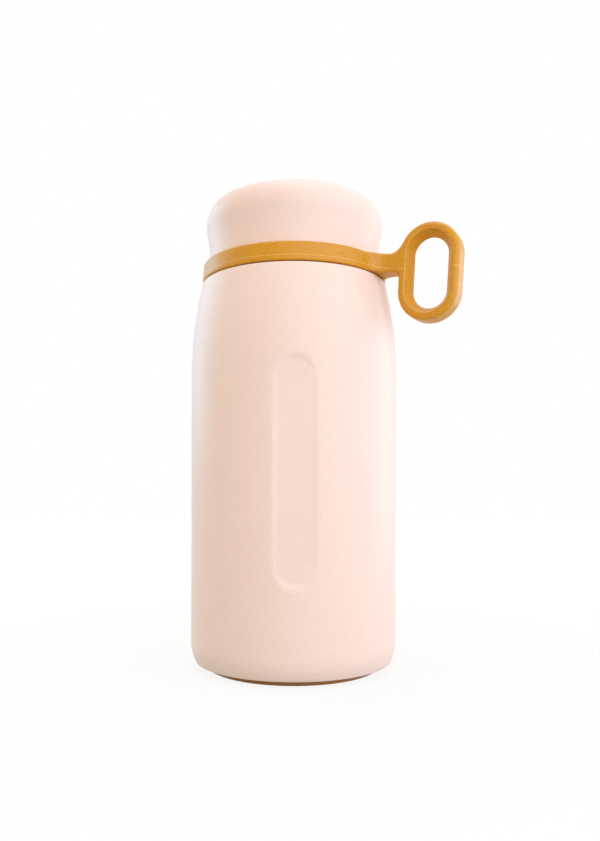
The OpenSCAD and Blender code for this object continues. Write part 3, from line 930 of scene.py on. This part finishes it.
class BandShape:
    """The band as a distance: below 0 in the silicone, 0 on its surface."""

    def __init__(self, sizes):
        self.sizes = sizes
        self.outward = np.array([math.cos(sizes.direction), math.sin(sizes.direction), 0])
        self.sideways = np.array([-math.sin(sizes.direction), math.cos(sizes.direction), 0])
        self.split = sizes.outer + 4 * MM  # between the ring's rules and the loop's
        self.middle = (sizes.foot + sizes.head) / 2
        self.half = (sizes.head - sizes.foot) / 2

    def local(self, points):
        """Distance outwards, sideways and upwards in the loop's own directions."""
        return points @ self.outward, points @ self.sideways, points[..., 2]

    def at(self, out, side, up):
        """Points from distances outwards, sideways and upwards."""
        parts = ((out, self.outward), (side, self.sideways), (up, UP))
        return sum(np.multiply.outer(distance, way) for distance, way in parts)

    def loop_place(self, out, up):
        """Place in the loop's leaning plane, from its middle."""
        sizes = self.sizes
        away, above = out - sizes.loop_reach, up - sizes.loop_level
        lean = sizes.lean
        return (
            away * math.cos(lean) - above * math.sin(lean),
            away * math.sin(lean) + above * math.cos(lean),
        )

    def sag(self, out):
        """How far the stem hangs below the ring's level."""
        bend = 1.5 * MM  # length over which the stem starts to fall
        past = out - self.sizes.outer
        return self.sizes.droop * (past + np.hypot(past, bend)) / 2

    def edge(self, out):
        """Rounding of the stem's edges, which grows towards the loop."""
        sizes = self.sizes
        start, spread = sizes.outer + 1 * MM, 7 * MM
        share = smooth_step((out - start) / spread)
        return sizes.edge + (sizes.bar_edge - sizes.edge) * share

    def ring(self, points):
        """The ring and the root of the stem, drawn in plan."""
        sizes = self.sizes
        stem_root = sizes.inner + MM
        hook_reach, hook_top = sizes.inner + 1.1 * MM, sizes.foot + 1.3 * MM
        inner_edge = 0.3 * MM
        out, side, up = self.local(points)
        reach = np.hypot(points[..., 0], points[..., 1])
        outside = reach - sizes.outer + sizes.taper * (up - sizes.foot) / (2 * self.half)
        stem = np.maximum(np.abs(side) - sizes.bar_half, stem_root - out)
        plan = join_round(outside, stem, sizes.fillet_ring)
        slab = np.abs(up - self.middle + self.sag(out)) - self.half
        solid = keep_round(plan, slab, self.edge(out))
        rebate = np.maximum(reach - hook_reach, up - hook_top)
        return np.maximum(keep_round(solid, sizes.inner - reach, inner_edge), -rebate)

    def loop(self, points):
        """The stem and the loop, drawn from the side."""
        sizes = self.sizes
        hole_edge, hole_crest = 0.22 * MM, 0.35 * MM
        stem_end = sizes.loop_reach - sizes.loop_radius + MM
        out, side, up = self.local(points)
        across, along = self.loop_place(out, up)
        spoke = np.hypot(across, np.maximum(np.abs(along) - sizes.loop_leg, 0))
        rise = up - self.middle + self.sag(out)
        stem = np.maximum(np.abs(rise) - self.half, out - stem_end)
        above = smooth_step(rise / self.half * 0.5 + 0.5)
        fillet = sizes.fillet_below + (sizes.fillet_above - sizes.fillet_below) * above
        outline = join_round(spoke - sizes.loop_radius, stem, fillet)
        solid = keep_round(outline, np.abs(side) - sizes.bar_half, self.edge(out))
        slope = (sizes.bar_middle - sizes.bar_face) / sizes.bar_half
        hole = sizes.loop_radius - sizes.bar_middle + slope * np.hypot(side, hole_crest) - spoke
        return keep_round(solid, hole / math.hypot(1, slope), hole_edge)

    def distance(self, points):
        """Distance to the band's surface."""
        out = points @ self.outward
        return np.where(out < self.split, self.ring(points), self.loop(points))

    def normal(self, points):
        """The way out of the silicone at each point."""
        slopes = [
            self.distance(points + HAIR * axis) - self.distance(points - HAIR * axis)
            for axis in np.eye(3)
        ]
        way = np.stack(slopes, -1)
        return way / np.maximum(np.linalg.norm(way, axis=-1, keepdims=True), 1e-12)

    def settle(self, points, flat=False):
        """Moves points onto the surface in four rounds, and only sideways if flat."""
        for _ in range(4):
            way = self.normal(points)
            if flat:
                way[..., 2] = 0
                way /= np.maximum(np.linalg.norm(way, axis=-1, keepdims=True), 0.3) ** 2
            points = points - self.distance(points)[..., None] * way
        return points


def skin(field, low, step):
    """Surface of a sampled distance: a point in each crossed cell, and quads between them."""
    inside = field < 0
    cells = tuple(size - 1 for size in field.shape)
    corners = [(i, j, k) for i in (0, 1) for j in (0, 1) for k in (0, 1)]
    stack = sum(
        inside[i : i + cells[0], j : j + cells[1], k : k + cells[2]].astype(np.int8)
        for i, j, k in corners
    )
    crossed = np.argwhere((stack > 0) & (stack < 8))
    number = np.full(cells, -1)
    number[tuple(crossed.T)] = np.arange(len(crossed))
    total = np.zeros((len(crossed), 3))
    count = np.zeros((len(crossed), 1))
    for first in corners:
        for axis in range(3):
            if first[axis]:
                continue
            a = crossed + np.array(first)
            b = a + np.eye(3, dtype=int)[axis]
            at_a, at_b = field[tuple(a.T)], field[tuple(b.T)]
            cut = (at_a < 0) != (at_b < 0)
            share = np.where(cut, at_a / np.where(cut, at_a - at_b, 1), 0)
            total += np.where(cut[:, None], a + share[:, None] * np.eye(3)[axis], 0)
            count += cut[:, None]
    points = low + step * total / count
    quads = []
    for axis in range(3):
        one, two = (axis + 1) % 3, (axis + 2) % 3
        ahead = np.roll(inside, -1, axis)
        edge = np.argwhere(inside != ahead)
        edge = edge[
            (edge[:, axis] < cells[axis])
            & (edge[:, one] > 0)
            & (edge[:, two] > 0)
            & (edge[:, one] < cells[one])
            & (edge[:, two] < cells[two])
        ]
        around = []
        for back_one, back_two in ((1, 1), (0, 1), (0, 0), (1, 0)):
            cell = edge.copy()
            cell[:, one] -= back_one
            cell[:, two] -= back_two
            around.append(number[tuple(cell.T)])
        quads.append(np.stack(around, -1))
    return points, np.concatenate(quads)


# Section of a moulding line: shares of its half width across and out of the surface.
RIDGE_SECTION = [(-1.0, -0.5), (-0.9, 0.2), (-0.4, 0.75), (0.4, 0.75), (0.9, 0.2), (1.0, -0.5)]
RIDGE_CAPS = [(0, 1, 4, 5), (1, 2, 3, 4)]  # faces that close an open ridge's end


def strip(shape, path, half_width, closed):
    """Points and faces of a thin half-round ridge along a path on the band's surface."""
    ahead = np.roll(path, -1, 0) - np.roll(path, 1, 0)
    if not closed:
        ahead[0], ahead[-1] = path[1] - path[0], path[-1] - path[-2]
    ahead /= np.linalg.norm(ahead, axis=1, keepdims=True)
    up = shape.normal(path)
    across = np.cross(ahead, up)
    points = np.stack([path + half_width * (a * across + b * up) for a, b in RIDGE_SECTION], 0)
    faces = grid_faces(len(RIDGE_SECTION), len(path))
    if not closed:
        column = faces % len(path)
        seam = np.abs(column - column[:, :1]).max(1) > 1
        caps = np.array(RIDGE_CAPS) * len(path)
        faces = np.vstack([faces[~seam], caps, caps + len(path) - 1])
    return points.reshape(-1, 3), faces


def resample(path, step, closed):
    """Points a step apart along a path, and never fewer than eight."""
    line = np.vstack([path, path[:1]]) if closed else path
    along = np.concatenate([[0], np.cumsum(np.linalg.norm(np.diff(line, axis=0), axis=1))])
    wanted = np.linspace(0, along[-1], max(8, int(along[-1] / step)), endpoint=not closed)
    return np.stack([np.interp(wanted, along, line[:, i]) for i in range(3)], -1)


def hole_edges(shape):
    """Closed paths round the loop's hole, at its front and back faces."""
    sizes = shape.sizes
    radius = sizes.loop_radius - sizes.bar_face
    turn = np.linspace(0, FULL_TURN, 240, endpoint=False)
    across = radius * np.cos(turn)
    along = radius * np.sin(turn) + sizes.loop_leg * np.sign(np.sin(turn))
    lean = sizes.lean
    out = sizes.loop_reach + across * math.cos(lean) + along * math.sin(lean)
    up = sizes.loop_level - across * math.sin(lean) + along * math.cos(lean)
    sides = [np.full_like(out, side) for side in (-sizes.bar_half, sizes.bar_half)]
    return [(resample(shape.at(out, side, up), RIDGE_STEP, True), True) for side in sides]


def parting_paths(shape):
    """Open paths of the moulding line: round the ring and stem, and round the outer bar."""
    sizes = shape.sizes
    half = sizes.bar_half
    near_drop, far_drop, drop_length = 0.9 * MM, 0.5 * MM, 8 * MM
    hole_near = sizes.loop_reach - sizes.loop_radius + sizes.bar_face
    hole_far = sizes.loop_reach + sizes.loop_radius - sizes.bar_face
    rim = sizes.loop_reach + sizes.loop_radius
    leave = math.asin((half + sizes.fillet_ring) / (sizes.outer + sizes.fillet_ring))
    turn = np.linspace(leave, FULL_TURN - leave, 240)
    circle = np.stack([sizes.outer * np.cos(turn), sizes.outer * np.sin(turn)], -1)
    near = np.vstack([[(hole_near, half)], circle, [(hole_near, -half)]])
    corner = sizes.bar_edge
    far = np.array(
        [
            (hole_far, -half),
            (rim - corner, -half),
            (rim, -half + corner),
            (rim, half - corner),
            (rim - corner, half),
            (hole_far, half),
        ]
    )
    paths = []
    for plan, drop in ((near, near_drop), (far, far_drop)):
        flat = resample(np.hstack([plan, np.zeros((len(plan), 1))]), RIDGE_STEP, False)
        out, side = flat[:, 0], flat[:, 1]
        lower = drop * smooth_step((out - sizes.outer) / drop_length)
        path = shape.at(out, side, sizes.parting - shape.sag(out) - lower)
        paths.append((shape.settle(path, flat=True), False))
    return paths


def band_mesh(name, sizes):
    """The band's mesh, with its moulding lines in a second material slot."""
    shape = BandShape(sizes)
    step = 0.34 * MM
    margin = 1.5 * MM
    low = np.array(BAND_LOW) - margin
    counts = np.ceil((np.array(BAND_HIGH) + margin - low) / step).astype(int) + 1
    field = np.empty(counts, np.float32)
    axes = [low[i] + step * np.arange(counts[i]) for i in range(3)]
    for i, x in enumerate(axes[0]):
        slab = np.stack(np.meshgrid([x], axes[1], axes[2], indexing="ij"), -1)
        field[i] = shape.distance(slab)[0]
    points, faces = skin(field, low, step)
    points = shape.settle(points)
    normals = shape.normal(points)
    slots = np.zeros(len(faces), int)
    for path, closed in hole_edges(shape) + parting_paths(shape):
        ridge, sides = strip(shape, path, sizes.flash, closed)
        faces = np.vstack([faces, sides + len(points)])
        slots = np.concatenate([slots, np.ones(len(sides), int)])
        points = np.vstack([points, ridge])
        normals = np.vstack([normals, shape.normal(ridge)])
    mesh = make_mesh(name, points, faces)
    mesh.polygons.foreach_set("material_index", slots)
    mesh.normals_split_custom_set_from_vertices(normals.tolist())
    return mesh


# ---------------------------------------------------------------- operators


class BuildBody(bpy.types.Operator):
    """Build the painted wall with its grip recess and the bare threaded neck"""

    bl_idname = "bottle.build_body"
    bl_label = "Build body"

    def execute(self, context):
        scene = context.scene
        sizes, neck, tones = scene.bottle_body, scene.bottle_neck, scene.bottle_colours
        thread_foot, thread_turns, thread_start = sizes.ledge + 4 * MM, 1.25, math.radians(20)
        wall = turned_mesh(
            "painted_wall", wall_outline(sizes, neck), wall_angles(sizes), press_recess(sizes)
        )
        paint = paint_finish("powder_coat", tones.paint)
        place(wall, "bottle", "outer_shell", paint)
        steel = turned_steel_finish("turned_steel", tones.steel)
        neck_wall = turned_mesh(
            "threaded_neck",
            neck_outline(sizes, neck),
            reshape=thread(neck, neck.radius, 1, thread_turns, thread_foot, thread_start),
        )
        place(neck_wall, "bottle", "outer_shell", steel)
        liner = turned_mesh("drink_liner", liner_outline(sizes, neck))
        place(liner, "bottle", "inner_liner", steel)
        floor = turned_mesh("liner_floor", liner_floor_outline(sizes, neck))
        place(floor, "bottle", "liner_bottom", steel)
        return {"FINISHED"}


class BuildBase(bpy.types.Operator):
    """Build the bottom plate and the silicone foot pad"""

    bl_idname = "bottle.build_base"
    bl_label = "Build base"

    def execute(self, context):
        scene = context.scene
        sizes, tones = scene.bottle_body, scene.bottle_colours
        plate = turned_mesh("bottom_plate", plate_outline(sizes))
        paint = paint_finish("plate_coat", tones.paint)
        place(plate, "bottle", "base_plate", paint)
        pad = turned_mesh("foot_pad", pad_outline())
        # The pad's darker silicone colour is painted shade of its floor contact; the silicone is
        # the same as the band's.
        silicone = silicone_finish("shaded_pad_silicone", tones.foot)
        place(pad, "bottle", "base_pad", silicone)
        return {"FINISHED"}


class BuildLid(bpy.types.Operator):
    """Build the lid's painted cover, its threaded core and the gasket"""

    bl_idname = "bottle.build_lid"
    bl_label = "Build lid"

    def execute(self, context):
        scene = context.scene
        neck, lid, tones = scene.bottle_neck, scene.bottle_lid, scene.bottle_colours
        thread_foot, thread_turns, thread_start = CAP_LOW.z + 2 * MM, 0.75, math.radians(200)
        cap = turned_mesh("lid_cap", cap_outline(lid))
        paint = paint_finish("lid_coat", tones.lid_paint)
        place(cap, "lid", "lid_cover", paint)
        core = turned_mesh(
            "lid_core",
            core_outline(lid),
            reshape=thread(neck, lid.skirt, -1, thread_turns, thread_foot, thread_start),
        )
        plastic = plastic_finish("core_plastic", tones.plastic)
        place(core, "lid", "lid_insert", plastic)
        seal = turned_mesh("plug_seal", seal_outline(neck, lid))
        silicone = seal_finish("seal_silicone", tones.seal)
        place(seal, "seal", "stopper_gasket", silicone)
        return {"FINISHED"}


class BuildBand(bpy.types.Operator):
    """Build the silicone carry band with its finger loop and moulding lines"""

    bl_idname = "bottle.build_band"
    bl_label = "Build carry band"

    def execute(self, context):
        tones = context.scene.bottle_colours
        mesh = band_mesh("band_with_loop", context.scene.bottle_band)
        silicone = silicone_finish("band_silicone", tones.silicone)
        place(mesh, "band", "carry_band", silicone, weighted=False)
        mesh.materials.append(silicone_finish("flash_silicone", tones.flash, 0.45))
        return {"FINISHED"}


class FinishInside(bpy.types.Operator):
    """Give the hidden pieces of the vacuum and the lid their own finishes"""

    bl_idname = "bottle.finish_inside"
    bl_label = "Finish inside"

    def execute(self, context):
        tones = context.scene.bottle_colours
        steel = grainy_finish("rolled_steel", tones.steel, 0.6 * MM, 0.01 * MM, 0.28, metal=1.0)
        finishes = {
            "foil_wrap": foil_finish("copper_foil", tones.foil),
            "vacuum_bottom": turned_steel_finish("pressed_steel", tones.steel),
            "vacuum_seal": grainy_finish("solder_glass", tones.glass, 0.8 * MM, 0.02 * MM, 0.12),
            "getter": grainy_finish("sintered_getter", tones.getter, 0.2 * MM, 0.04 * MM, 0.7, 0.6),
            "getter_clip": steel,
            "pad_adhesive": grainy_finish("tape_film", tones.film, 1.2 * MM, 0.01 * MM, 0.35),
            "lid_foam": grainy_finish("white_foam", tones.foam, 0.7 * MM, 0.15 * MM, 0.85),
        }
        for node, material in finishes.items():
            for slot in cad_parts[node].material_slots:
                slot.material = material
        return {"FINISHED"}


class BuildStudio(bpy.types.Operator):
    """Set up the floor, the soft lights, the surroundings and the camera"""

    bl_idname = "bottle.build_studio"
    bl_label = "Build studio"

    def execute(self, context):
        studio = context.scene.bottle_studio
        small, large = 400 * MM, 800 * MM
        add_floor()
        add_world(studio)
        for name, azimuth, height, energy, tone, size in (
            ("key_light", 28, 5, studio.key, studio.cool, large),
            ("side_light", 70, 5, studio.side, studio.cool, large),
            ("rim_light", 115, 5, studio.rim, studio.cool, small),
            ("edge_light", -120, 20, studio.edge, studio.sky, small),
            ("top_light", 0, 88, studio.top, studio.sky, small),
        ):
            lamp = add_lamp(name, studio, azimuth, height)
            lamp.energy, lamp.color, lamp.size = energy, tone, size
        add_camera(studio)
        context.scene.view_settings.view_transform = "Standard"
        return {"FINISHED"}


def add_lamp(name, studio, azimuth, height):
    """A square softbox, azimuth degrees right of the camera and height degrees up."""
    aim = Vector((0, 0, 80 * MM))
    around, above = math.radians(azimuth), math.radians(height)
    level = math.cos(above)
    out = Vector((math.sin(around) * level, -math.cos(around) * level, math.sin(above)))
    data = bpy.data.lights.new(name, "AREA")
    lamp = bpy.data.objects.new(name, data)
    lamp.location = aim + studio.reach * out
    lamp.rotation_euler = out.to_track_quat("Z", "Y").to_euler()
    bpy.context.scene.collection.objects.link(lamp)
    return data


def background_rays(shader):
    """1 for rays that should see the background: from the camera, a mirror or glass."""
    rays = [
        shader.add("LightPath", output=kind)
        for kind in ("Is Camera Ray", "Is Glossy Ray", "Is Transmission Ray")
    ]
    return rays[0].math("MAXIMUM", rays[0].math("MAXIMUM", rays[0], rays[1]), rays[2])


def add_floor():
    """A pale disc that takes the bottle's shadow and fades into the white surroundings."""
    radius, columns = 1.5, 96
    fade_start, fade_end = 0.10, 0.34  # distances from the axis
    near_white = 0.8  # share of plain white in what is seen of the floor near the bottle
    mesh = bpy.data.meshes.new("floor")
    turn = np.arange(columns) * FULL_TURN / columns
    rim = np.stack([radius * np.cos(turn), radius * np.sin(turn), 0 * turn], -1)
    mesh.from_pydata(rim.tolist(), [], [list(range(columns))])
    floor = bpy.data.objects.new("floor", mesh)
    bpy.context.scene.collection.objects.link(floor)
    shader = new_finish("pale_floor")
    away = shader.add("VectorMath", {"operation": "LENGTH"}, {0: shader.place()}, output="Value")
    fade = shader.add(
        "MapRange",
        {"interpolation_type": "SMOOTHSTEP"},
        {"Value": away, "From Min": fade_start, "From Max": fade_end},
    )
    seen = background_rays(shader)
    matt = shader.add("BsdfDiffuse", None, {"Color": (0.5, 0.495, 0.49, 1)})
    white = shader.add("Emission", None, {"Color": (1, 1, 1, 1), "Strength": 1.1})
    near = shader.add("MixShader", None, {0: near_white * seen, 1: matt, 2: white})
    far = shader.add("MixShader", None, {0: seen, 1: matt, 2: white})
    surface = shader.add("MixShader", None, {0: fade, 1: near, 2: far})
    shader.add("OutputMaterial", None, {"Surface": surface})
    mesh.materials.append(shader.holder)


def add_world(studio):
    """Even light all round, which is white where it is seen."""
    world = bpy.data.worlds.new("surroundings")
    bpy.context.scene.world = world
    shader = Shader(world)
    seen = background_rays(shader)
    strength = studio.ambient + (1 - studio.ambient) * seen
    tone = shader.mix(seen, (*studio.warm, 1), (1, 1, 1, 1))
    surface = shader.add("Background", None, {"Color": tone, "Strength": strength})
    shader.add("OutputWorld", None, {"Surface": surface})


def add_camera(studio):
    """A level camera in front of the bottle."""
    frame_height, middle_across, middle_down = 841, 300, 420.5
    axis_across, horizon_down = 293.6, 487.7
    roll = math.radians(0.15)
    data = bpy.data.cameras.new("camera")
    data.lens = studio.lens
    data.sensor_width = 36
    data.shift_x = (middle_across - axis_across) / frame_height
    data.shift_y = (horizon_down - middle_down) / frame_height
    camera = bpy.data.objects.new("camera", data)
    camera.location = (0, -studio.distance, studio.level)
    camera.rotation_euler = (math.pi / 2, -roll, 0)
    bpy.context.scene.collection.objects.link(camera)
    bpy.context.scene.camera = camera


class BottlePanel(bpy.types.Panel):
    """Lists the bottle's operators and sizes"""

    bl_idname = "VIEW3D_PT_bottle"
    bl_label = "Insulated bottle"
    bl_space_type = "VIEW_3D"
    bl_region_type = "UI"
    bl_category = "Bottle"

    def draw(self, context):
        for operator in OPERATORS:
            self.layout.operator(operator.bl_idname)
        for name in GROUPS:
            group = getattr(context.scene, name)
            box = self.layout.box()
            box.label(text=group.__doc__)
            for key in group.__annotations__:
                box.prop(group, key)


GROUPS = {
    "bottle_body": BodySizes,
    "bottle_neck": NeckSizes,
    "bottle_lid": LidSizes,
    "bottle_band": BandSizes,
    "bottle_colours": FinishColours,
    "bottle_studio": StudioSettings,
}
OPERATORS = [BuildStudio, BuildBody, BuildBase, BuildLid, BuildBand, FinishInside]


def register():
    """Makes the sizes, operators and panel known to Blender."""
    for group in GROUPS.values():
        bpy.utils.register_class(group)
    for name, group in GROUPS.items():
        setattr(bpy.types.Scene, name, PointerProperty(type=group))
    for operator in OPERATORS:
        bpy.utils.register_class(operator)
    bpy.utils.register_class(BottlePanel)


def unregister():
    """Takes everything that register added away again."""
    bpy.utils.unregister_class(BottlePanel)
    for operator in reversed(OPERATORS):
        bpy.utils.unregister_class(operator)
    for name in GROUPS:
        delattr(bpy.types.Scene, name)
    for group in GROUPS.values():
        bpy.utils.unregister_class(group)


def main():
    register()
    bpy.ops.bottle.build_studio()
    bpy.ops.bottle.build_body()
    bpy.ops.bottle.build_base()
    bpy.ops.bottle.build_lid()
    bpy.ops.bottle.build_band()
    bpy.ops.bottle.finish_inside()


if __name__ == "__main__":
    main()
